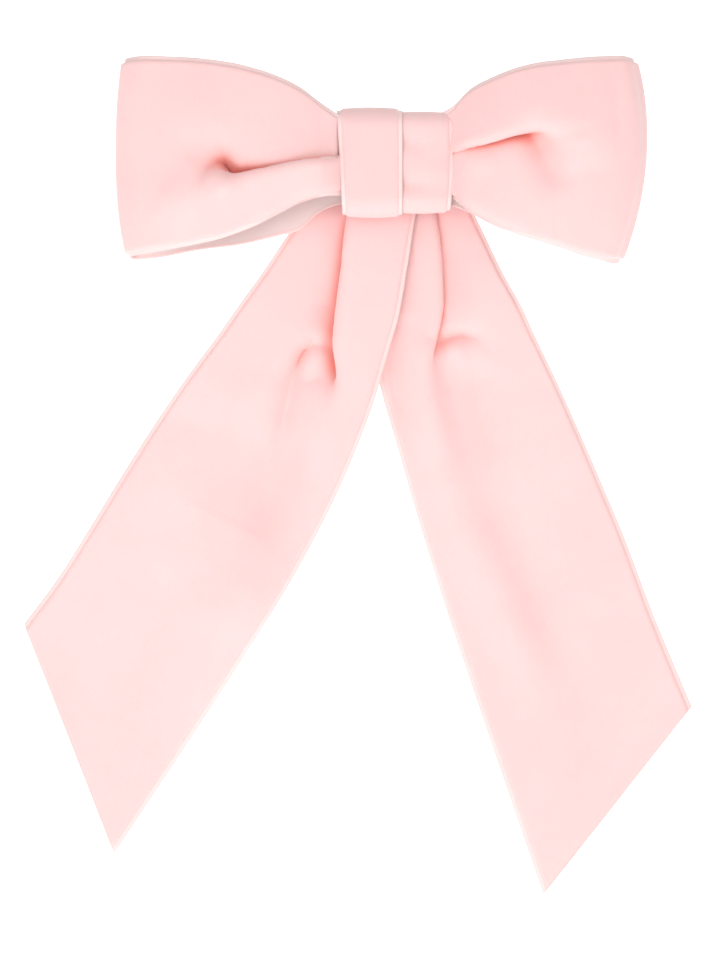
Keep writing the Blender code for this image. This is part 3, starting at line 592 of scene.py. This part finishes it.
def make_loops(stuffs):
    """The wide ribbon's ring: front and back layers of both loops, pinched in the middle."""
    line = resample(loop_stations(), LOOP_STEP)[:-1]
    a = across(RIBBON)
    middle = line[:, :3]
    tangent = unit(np.roll(middle, -1, 0) - np.roll(middle, 1, 0))
    outward = unit(np.cross(tangent, -UP))
    top, low = middle.copy(), middle.copy()
    top[:, 2], low[:, 2] = line[:, 3], line[:, 4]
    lost_low = np.maximum(line[:, 8], 0)
    crease = np.stack((line[:, 5], np.maximum(line[:, 6], 0), line[:, 7]), 1)
    small = np.stack((RIBBON - 0.75 * lost_low - 1.1, lost_low, np.full(len(line), SMALL_TURN)), 1)
    side = np.tanh(-line[:, 0] / 3)
    behind = np.full(len(line), -1.0)
    from_middle = np.abs(line[:, 0])
    dive = LOOP_DIVE * smooth(from_middle, 15, 25)
    grid = surface(top, low, outward, a, [(crease, side), (small, behind)], line[:, 9], dive)
    grid = bow_end(grid)
    crown = LOOP_CROWN * smooth(from_middle, 14, 21) * (1 - smooth(from_middle, 50, 68))
    grid = grid + outward[:, None] * (crown[:, None] * np.sin(np.pi * a / RIBBON)[None, :])[..., None]
    curl = LOOP_CURL * smooth(from_middle, 16, 30) * (1 - smooth(from_middle, 48, 62))
    curl = (curl * (outward[:, 1] > 0.3))[:, None] * smooth(a, RIBBON * 0.55, RIBBON)[None, :]
    grid = grid + FORWARD * curl[..., None]
    on_front = (outward[:, 1] < -0.3).astype(float)[:, None, None]
    grid = grid + on_front * (swell(grid, FORWARD, LOOP_SWELLS) - grid)
    squash = 0.3 + 0.7 * smooth(from_middle, 13.5, 18.0)
    bow = ribbon_mesh("bow_loops", grid, a, RIBBON, stuffs, closed=True, squash=squash, flip=True)
    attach(bow, "base")
    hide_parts("bow_loop_ribbon")


def bow_end(grid):
    """Rounds the loops' outer ends: they reach furthest at mid height."""
    x, z = grid[..., 0], grid[..., 2]
    low_left = np.clip(2 - z, 0, None) / 26
    high_left = np.clip(z - 2, 0, None) / 25
    left = -smooth(-x, 45, 70) * (2.6 * low_left**2.4 + 1.6 * high_left**2.4)
    below = np.clip(8.6 - z, 0, None) / 34
    above = np.clip(z - 8.6, 0, None) / 18
    right = smooth(x, 38, 64) * (6.0 * below**2.1 + 2.2 * above**2)
    grid = grid.copy()
    grid[..., 0] = x - left - right
    return grid


# ---- the tails ----------------------------------------------------------------------------------

# Each row: outer edge x and z, inner edge x and z, depth forward of the layer's place behind the knot,
# centre, lost length and turn of the pleat, and its gain.
LEFT_TAIL = [
    (-11.5, 8.0, 11.5, 8.0, 0.0, 25.0, 27.0, 4.0, 0.12),
    (-14.6, 0.0, 8.6, 0.0, 0.0, 25.5, 27.0, 4.0, 0.12),
    (-20.0, -8.2, 6.6, -7.8, 0.4, 26.5, 23.4, 4.0, 0.3),
    (-26.4, -16.6, 5.1, -15.0, 2.2, 27.7, 18.6, 5.4, 0.75),
    (-34.0, -27.9, 3.2, -27.0, 3.2, 30.2, 15.0, 5.4, 0.95),
    (-41.4, -38.2, 0.8, -40.4, 3.4, 32.2, 10.5, 5.4, 0.95),
    (-46.6, -45.6, -1.6, -48.6, 3.3, 34.6, 8.0, 5.4, 0.95),
    (-49.8, -49.9, -3.4, -54.8, 3.2, 37.3, 5.4, 5.8, 0.9),
    (-52.4, -53.4, -4.8, -59.8, 3.1, 38.5, 2.8, 8.0, 0.75),
    (-60.0, -64.2, -12.2, -79.4, 2.4, 40.0, 1.0, 11.0, 0.6),
    (-70.0, -79.6, -24.5, -104.2, 1.8, 40.0, 0.0, 12.0, 0.6),
    (-79.0, -94.2, -40.9, -130.8, 0.9, 40.0, 0.0, 12.0, 0.6),
    (-87.9, -108.2, -57.6, -156.4, -0.4, 40.0, 0.0, 12.0, 0.6),
    (-96.7, -120.0, -73.2, -179.8, -1.4, 40.0, 0.0, 12.0, 0.6),
]
RIGHT_TAIL = [
    (11.5, 8.0, -11.5, 8.0, 0.0, 27.0, 27.0, 4.0, 0.12),
    (14.0, 0.0, -7.6, 0.0, 0.0, 27.4, 28.4, 4.0, 0.12),
    (18.6, -9.0, -6.8, -8.0, 0.2, 27.4, 24.6, 4.0, 0.26),
    (22.6, -17.0, -6.6, -16.0, 0.4, 27.2, 20.8, 4.0, 0.6),
    (28.0, -28.2, -6.6, -27.5, 0.4, 27.5, 15.4, 4.0, 0.7),
    (33.4, -38.0, -6.3, -40.0, 0.3, 29.2, 10.4, 4.0, 0.7),
    (36.2, -44.2, -5.8, -46.6, 0.2, 31.6, 7.6, 4.2, 0.7),
    (38.2, -48.4, -5.2, -51.6, 0.1, 33.0, 3.4, 6.5, 0.6),
    (41.8, -55.9, -3.2, -60.4, 0.0, 34.4, 2.2, 10.0, 0.5),
    (45.6, -64.3, 0.6, -73.6, -0.2, 35.0, 1.6, 11.0, 0.4),
    (52.2, -79.3, 4.8, -88.2, -0.3, 36.0, 1.0, 12.0, 0.4),
    (58.7, -94.6, 11.2, -109.2, -0.2, 36.0, 0.2, 12.0, 0.4),
    (67.2, -117.0, 24.1, -148.0, 0.4, 36.0, 0.0, 12.0, 0.4),
    (77.4, -141.5, 38.7, -190.5, 1.0, 36.0, 0.0, 12.0, 0.4),
]
LEFT_SWELLS = [
    ([(-17.6, -34.0), (-18.8, -45.4)], -0.9, 3.6),
    ([(-19.0, -47.2), (-21.8, -46.8), (-24.0, -48.8), (-26.0, -53.0), (-27.0, -58.0)], -2.4, 2.1),
    ([(-24.8, -50.0), (-27.4, -58.0), (-29.4, -69.0), (-31.4, -78.0)], -2.8, 3.2),
    ([(-29.0, -66.0), (-33.0, -84.0), (-35.0, -106.0)], -3.0, 7.0),
    ([(-20.0, -52.0), (-18.0, -57.0), (-20.6, -70.0), (-23.0, -84.0)], 2.4, 4.0),
    ([(-54.0, -66.0), (-60.0, -96.0)], 1.4, 8.0),
    ([(-36.0, -104.0), (-46.0, -128.0)], 1.2, 8.0),
    ([(-58.0, -100.0), (-68.0, -140.0)], -1.2, 9.0),
]
RIGHT_SWELLS = [
    ([(15.0, -18.0), (17.5, -40.0)], -1.2, 4.8),
    ([(9.6, -45.6), (13.0, -45.7), (17.0, -44.6), (21.0, -44.8), (24.0, -48.0)], -2.2, 1.9),
    ([(12.0, -49.0), (19.6, -48.2)], 1.2, 3.0),
    ([(22.6, -47.5), (22.0, -58.0), (24.0, -70.0), (28.0, -80.0)], -1.8, 5.4),
    ([(5.4, -40.0), (8.0, -50.0), (10.0, -66.0), (14.0, -84.0)], 2.0, 4.4),
    ([(-1.0, -44.0), (-0.2, -58.0), (2.6, -72.0)], -2.0, 3.0),
    ([(26.0, -76.0), (35.0, -104.0), (45.0, -132.0), (52.0, -150.0)], -1.8, 7.6),
    ([(16.0, -84.0), (26.0, -108.0), (34.0, -128.0), (43.0, -150.0)], 2.0, 6.0),
    ([(38.0, -56.0), (50.0, -90.0)], 1.0, 8.0),
]


def make_tail(name, table, level, swells, body, node, stuffs, flip, joined=()):
    """One tail from the fold behind the knot down to its slanting cut, bending below the knot."""
    table = np.asarray(table, float)
    columns = [((r[0] + r[2]) / 2, level - r[4], (r[1] + r[3]) / 2, *r) for r in table]
    line = resample(columns, TAIL_STEP)[:, 3:]
    a = across(RIBBON)
    depth = level - line[:, 4]
    outer = np.stack((line[:, 0], depth, line[:, 1]), 1)
    inner = np.stack((line[:, 2], depth, line[:, 3]), 1)
    forward = np.tile(FORWARD, (len(line), 1))
    pleat = np.stack((line[:, 5], np.maximum(line[:, 6], 0), line[:, 7]), 1)
    grid = surface(outer, inner, forward, a, [(pleat, np.ones(len(line)))], line[:, 8], TAIL_DIVE)
    low = smooth(-grid[..., 2], 12, 20)[..., None]
    grid = grid + low * (swell(grid, FORWARD, swells) - grid)
    waves = TAIL_WAVE * np.sin(grid[..., 2] / 13.0 + grid[..., 0] / 21.0)
    grid = grid + FORWARD * (waves * smooth(-grid[..., 2], 50, 90))[..., None]
    squash = 0.35 + 0.65 * smooth(-line[:, 1], 9.0, 15.0)
    tail = ribbon_mesh(name, grid, a, RIBBON, stuffs, squash=squash, flip=flip)
    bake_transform(tail)
    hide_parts(node)


def make_tail_bend(stuffs):
    """The top of the fold that joins the two tails behind the knot."""
    half, top = LEFT_TAIL[0][2], LEFT_TAIL[0][3]
    a = across(RIBBON)
    radius = (TAIL_BACK - TAIL_FRONT) / 2
    middle = (TAIL_BACK + TAIL_FRONT) / 2
    angles = np.linspace(math.pi, 0, 13)
    arc = [(middle + radius * math.cos(t), top + radius * math.sin(t)) for t in angles]
    left = np.array([(-half, y, z) for y, z in arc])
    right = left * (-1, 1, 1)
    forward = np.array([(0, math.cos(t), math.sin(t)) for t in angles])
    pleat = np.tile((26.0, 27.0, 4.0), (len(angles), 1))
    ones = np.ones(len(angles))
    grid = surface(left, right, forward, a, [(pleat, ones)], 0.12 * ones)
    bend = ribbon_mesh("tail_bend", grid, a, RIBBON, stuffs, squash=np.full(len(angles), 0.35))
    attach(bend, "base")
    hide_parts("tail_fold")
    return bend


# ---- the knot -----------------------------------------------------------------------------------


def knot_path(front, back, half, corner, turns_out, steps):
    """Two turns round the knot from the back middle: y, z, outward y and z, and turns done."""
    corners = [
        (back - corner, corner - half, 0),
        (front + corner, corner - half, -90),
        (front + corner, half - corner, -180),
        (back - corner, half - corner, -270),
    ]
    ring = [((back, 0.0), (1.0, 0.0))]
    for y, z, start in corners:
        for k in range(steps + 1):
            t = math.radians(start - 90 * k / steps)
            point = (y + corner * math.cos(t), z + corner * math.sin(t))
            ring.append((point, (math.cos(t), math.sin(t))))
    ring.append(ring[0])
    path = []
    for turn in range(2):
        for i, (point, normal) in enumerate(ring[:-1] if turn == 0 else ring):
            done = turn + i / (len(ring) - 1)
            out = turns_out * done
            path.append((point[0] + normal[0] * out, point[1] + normal[1] * out, *normal, done))
    return np.array(path)


def make_knot(stuffs):
    """The narrow ribbon wound twice: first to the right, then over it to the left."""
    front = WRAP_LOW[1] + KNOT_FRONT
    back = WRAP_HIGH[1] - KNOT_BACK
    half = WRAP_HIGH[2] - KNOT_TOP
    rough = knot_path(front, back, half, KNOT_CORNER, KNOT_PITCH, 6)
    run = np.concatenate(([0], np.cumsum(np.hypot(*np.diff(rough[:, :2], axis=0).T))))
    at = np.linspace(0, run[-1], KNOT_ROWS)
    path = np.stack([np.interp(at, run, rough[:, k]) for k in range(rough.shape[1])], 1)
    done = path[:, 4]
    a = across(WRAP)
    y, z = path[:, 0], path[:, 1] - KNOT_DROP
    normal = unit(path[:, 2:4])
    shift = smooth(done, 0.86, 1.14)
    centre = FIRST_TURN_X + (SECOND_TURN_X - FIRST_TURN_X) * shift
    left_edge = centre - WRAP / 2 + np.where(done > 1, 0.055 * np.clip(4 - z, -10, 18), 0)
    right_edge = centre + WRAP / 2 + np.where(done > 1, 0.0, 0.4 - 0.004 * (z - 2) ** 2)
    first = np.stack((left_edge, y, z), 1)
    second = np.stack((right_edge, y, z), 1)
    outward = np.stack((np.zeros_like(y), normal[:, 0], normal[:, 1]), 1)
    grid = first[:, None] + (second - first)[:, None] * (a / WRAP)[None, :, None]
    crown = KNOT_CROWN * np.sin(np.pi * a / WRAP) ** 0.8
    grid = grid + outward[:, None] * crown[None, :, None]
    front_face = smooth(-normal[:, 0], 0.6, 0.95)
    soft = folds_on_knot(grid, done)
    grid = grid + outward[:, None] * (soft * front_face[:, None])[..., None]
    wrap = ribbon_mesh("knot_wrap_ribbon", grid, a, WRAP, stuffs, pile=KNOT_PILE)
    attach(wrap, "base")
    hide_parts("knot_wrap")


def folds_on_knot(grid, done):
    """Heights of the soft folds across the inner turn; the outer one lies smooth."""
    x, z = grid[..., 0], grid[..., 2]
    inner = (done < 1).astype(float)[:, None]
    first = 0.4 * np.exp(-(((z + 1.5 + 0.1 * x) / 2.6) ** 2)) * smooth(x, 3.0, 7.0)
    second = -0.5 * np.exp(-(((z - 4.6) / 2.2) ** 2)) - 0.6 * np.exp(-(((z + 6.0) / 2.0) ** 2))
    return inner * (first + second * np.exp(-(((x - 3) / 6.0) ** 2)))


# ---- the clip, the glue and the thread ----------------------------------------------------------

METAL = [
    "base_plate",
    "hinge_pin",
    "tension_bar",
    "latch_bracket",
    "latch_rivet",
    "clasp_arm",
    "latch_prong_upper",
    "latch_prong_lower",
]


def dress(node, material, bevel=0.0):
    """Gives a CAD node its material, and rounds its sharp edges a little."""
    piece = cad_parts[node]
    piece.data.materials.clear()
    piece.data.materials.append(material)
    if bevel:
        rounding = piece.modifiers.new("Rounded edges", "BEVEL")
        rounding.width = bevel * MM
        rounding.segments = 2
        rounding.limit_method = "ANGLE"
        rounding.angle_limit = math.radians(40)
        rounding.harden_normals = True


def make_hardware():
    steel = plated("nickel_plated_steel")
    for name in METAL:
        dress(name, steel, 0.12)
    glue = glued("hot_glue")
    for name in ("knot_glue", "clip_glue"):
        dress(name, glue, 0.2)
    dress("cinch_thread", twisted("pink_thread", (0.93, 0.62, 0.58)))


# ---- stage, lights and camera -------------------------------------------------------------------


def plain(name, colour, glow):
    """A matt surface with some light of its own."""
    n = Nodes(name)
    return n.finish(
        Base_Color=(*colour, 1),
        Roughness=0.9,
        Specular_IOR_Level=0.1,
        Emission_Color=(1, 1, 1, 1),
        Emission_Strength=glow,
    )


def make_stage():
    """A plain white backdrop far behind, curving into a floor far below."""
    low, high, back, bend, half = -4.0, 6.0, 7.0, 2.0, 8.0
    steps = 12
    profile = [(-back, low), (back - bend, low)]
    for k in range(1, steps + 1):
        t = math.radians(90 * k / steps)
        profile.append((back - bend + bend * math.sin(t), low + bend * (1 - math.cos(t))))
    profile.append((back, high))
    points, faces = [], []
    for y, z in profile:
        points += [(-half, y, z), (half, y, z)]
    for i in range(len(profile) - 1):
        faces.append((2 * i, 2 * i + 1, 2 * i + 3, 2 * i + 2))
    mesh = bpy.data.meshes.new("backdrop")
    mesh.from_pydata(points, [], faces)
    mesh.shade_smooth()
    mesh.materials.append(plain("white_paper", (0.97, 0.97, 0.97), 0.45))
    backdrop = bpy.data.objects.new("backdrop", mesh)
    bpy.context.scene.collection.objects.link(backdrop)


def area_light(name, place, target, size, power):
    """A square white lamp at place, facing target."""
    data = bpy.data.lights.new(name, "AREA")
    data.shape = "SQUARE"
    data.size = size
    data.energy = power
    lamp = bpy.data.objects.new(name, data)
    lamp.location = place
    lamp.rotation_euler = (Vector(target) - Vector(place)).to_track_quat("-Z", "Y").to_euler()
    bpy.context.scene.collection.objects.link(lamp)


def make_lights():
    """A soft key light from the lower left, a weaker one from the upper right, and a white room."""
    middle = (0, 0, -0.08)
    area_light("key_light", (-0.45, -1.1, -0.85), middle, 0.8, 7.4)
    area_light("fill_light", (0.6, -1.3, 0.5), middle, 1.0, 3.2)
    world = bpy.data.worlds.new("studio")
    world.use_nodes = True
    world.node_tree.nodes["Background"].inputs["Color"].default_value = (1, 1, 1, 1)
    world.node_tree.nodes["Background"].inputs["Strength"].default_value = 0.76
    bpy.context.scene.world = world
    bpy.context.scene.view_settings.view_transform = "Standard"
    bpy.context.scene.view_settings.look = "None"


def make_camera():
    """Straight on, from in front, framed on the whole bow."""
    sensor = 36.0
    distance = 1.7
    bow_front = 0.014  # where the picture's plane lies, in front of the origin
    frame_height = 0.2496  # what the picture takes in there
    data = bpy.data.cameras.new("camera")
    data.sensor_fit = "VERTICAL"
    data.sensor_height = sensor
    data.lens = sensor * (distance - bow_front) / frame_height
    data.clip_start = 0.01
    camera = bpy.data.objects.new("camera", data)
    camera.location = (-0.0091, -distance, -0.0824)
    camera.rotation_euler = (math.radians(90), 0, 0)
    bpy.context.scene.collection.objects.link(camera)
    bpy.context.scene.camera = camera


def main():
    selvedge = woven("selvedge", (0.975, 0.77, 0.75), (0.955, 0.69, 0.67), 0.35)
    back = woven("ribbon_back", (0.985, 0.83, 0.81), (0.97, 0.77, 0.755), 0.3, 0.55)
    # The loops and tails are one ribbon: the tails' copy of its velvet is a little lighter and the
    # loops' a little darker to even out how the lamps fall on them, as painted light and shade.
    loops = [velvet("loop_velvet", (0.98, 0.64, 0.63), (0.965, 0.60, 0.59)), selvedge, back]
    knot = [velvet("knot_velvet", (0.985, 0.635, 0.625), (0.975, 0.595, 0.585)), selvedge, back]
    tails = [velvet("tail_velvet", (0.98, 0.655, 0.645), (0.965, 0.615, 0.605)), selvedge, back]
    make_camera()
    make_loops(loops)
    bend = make_tail_bend(tails)
    left = ("left_tail_ribbon", LEFT_TAIL, TAIL_FRONT, LEFT_SWELLS, "tail_left", "left_tail")
    make_tail(*left, tails, flip=True, joined=[bend])
    right = ("right_tail_ribbon", RIGHT_TAIL, TAIL_BACK, RIGHT_SWELLS, "tail_right", "right_tail")
    make_tail(*right, tails, flip=False)
    make_knot(knot)
    make_hardware()
    make_stage()
    make_lights()


main()
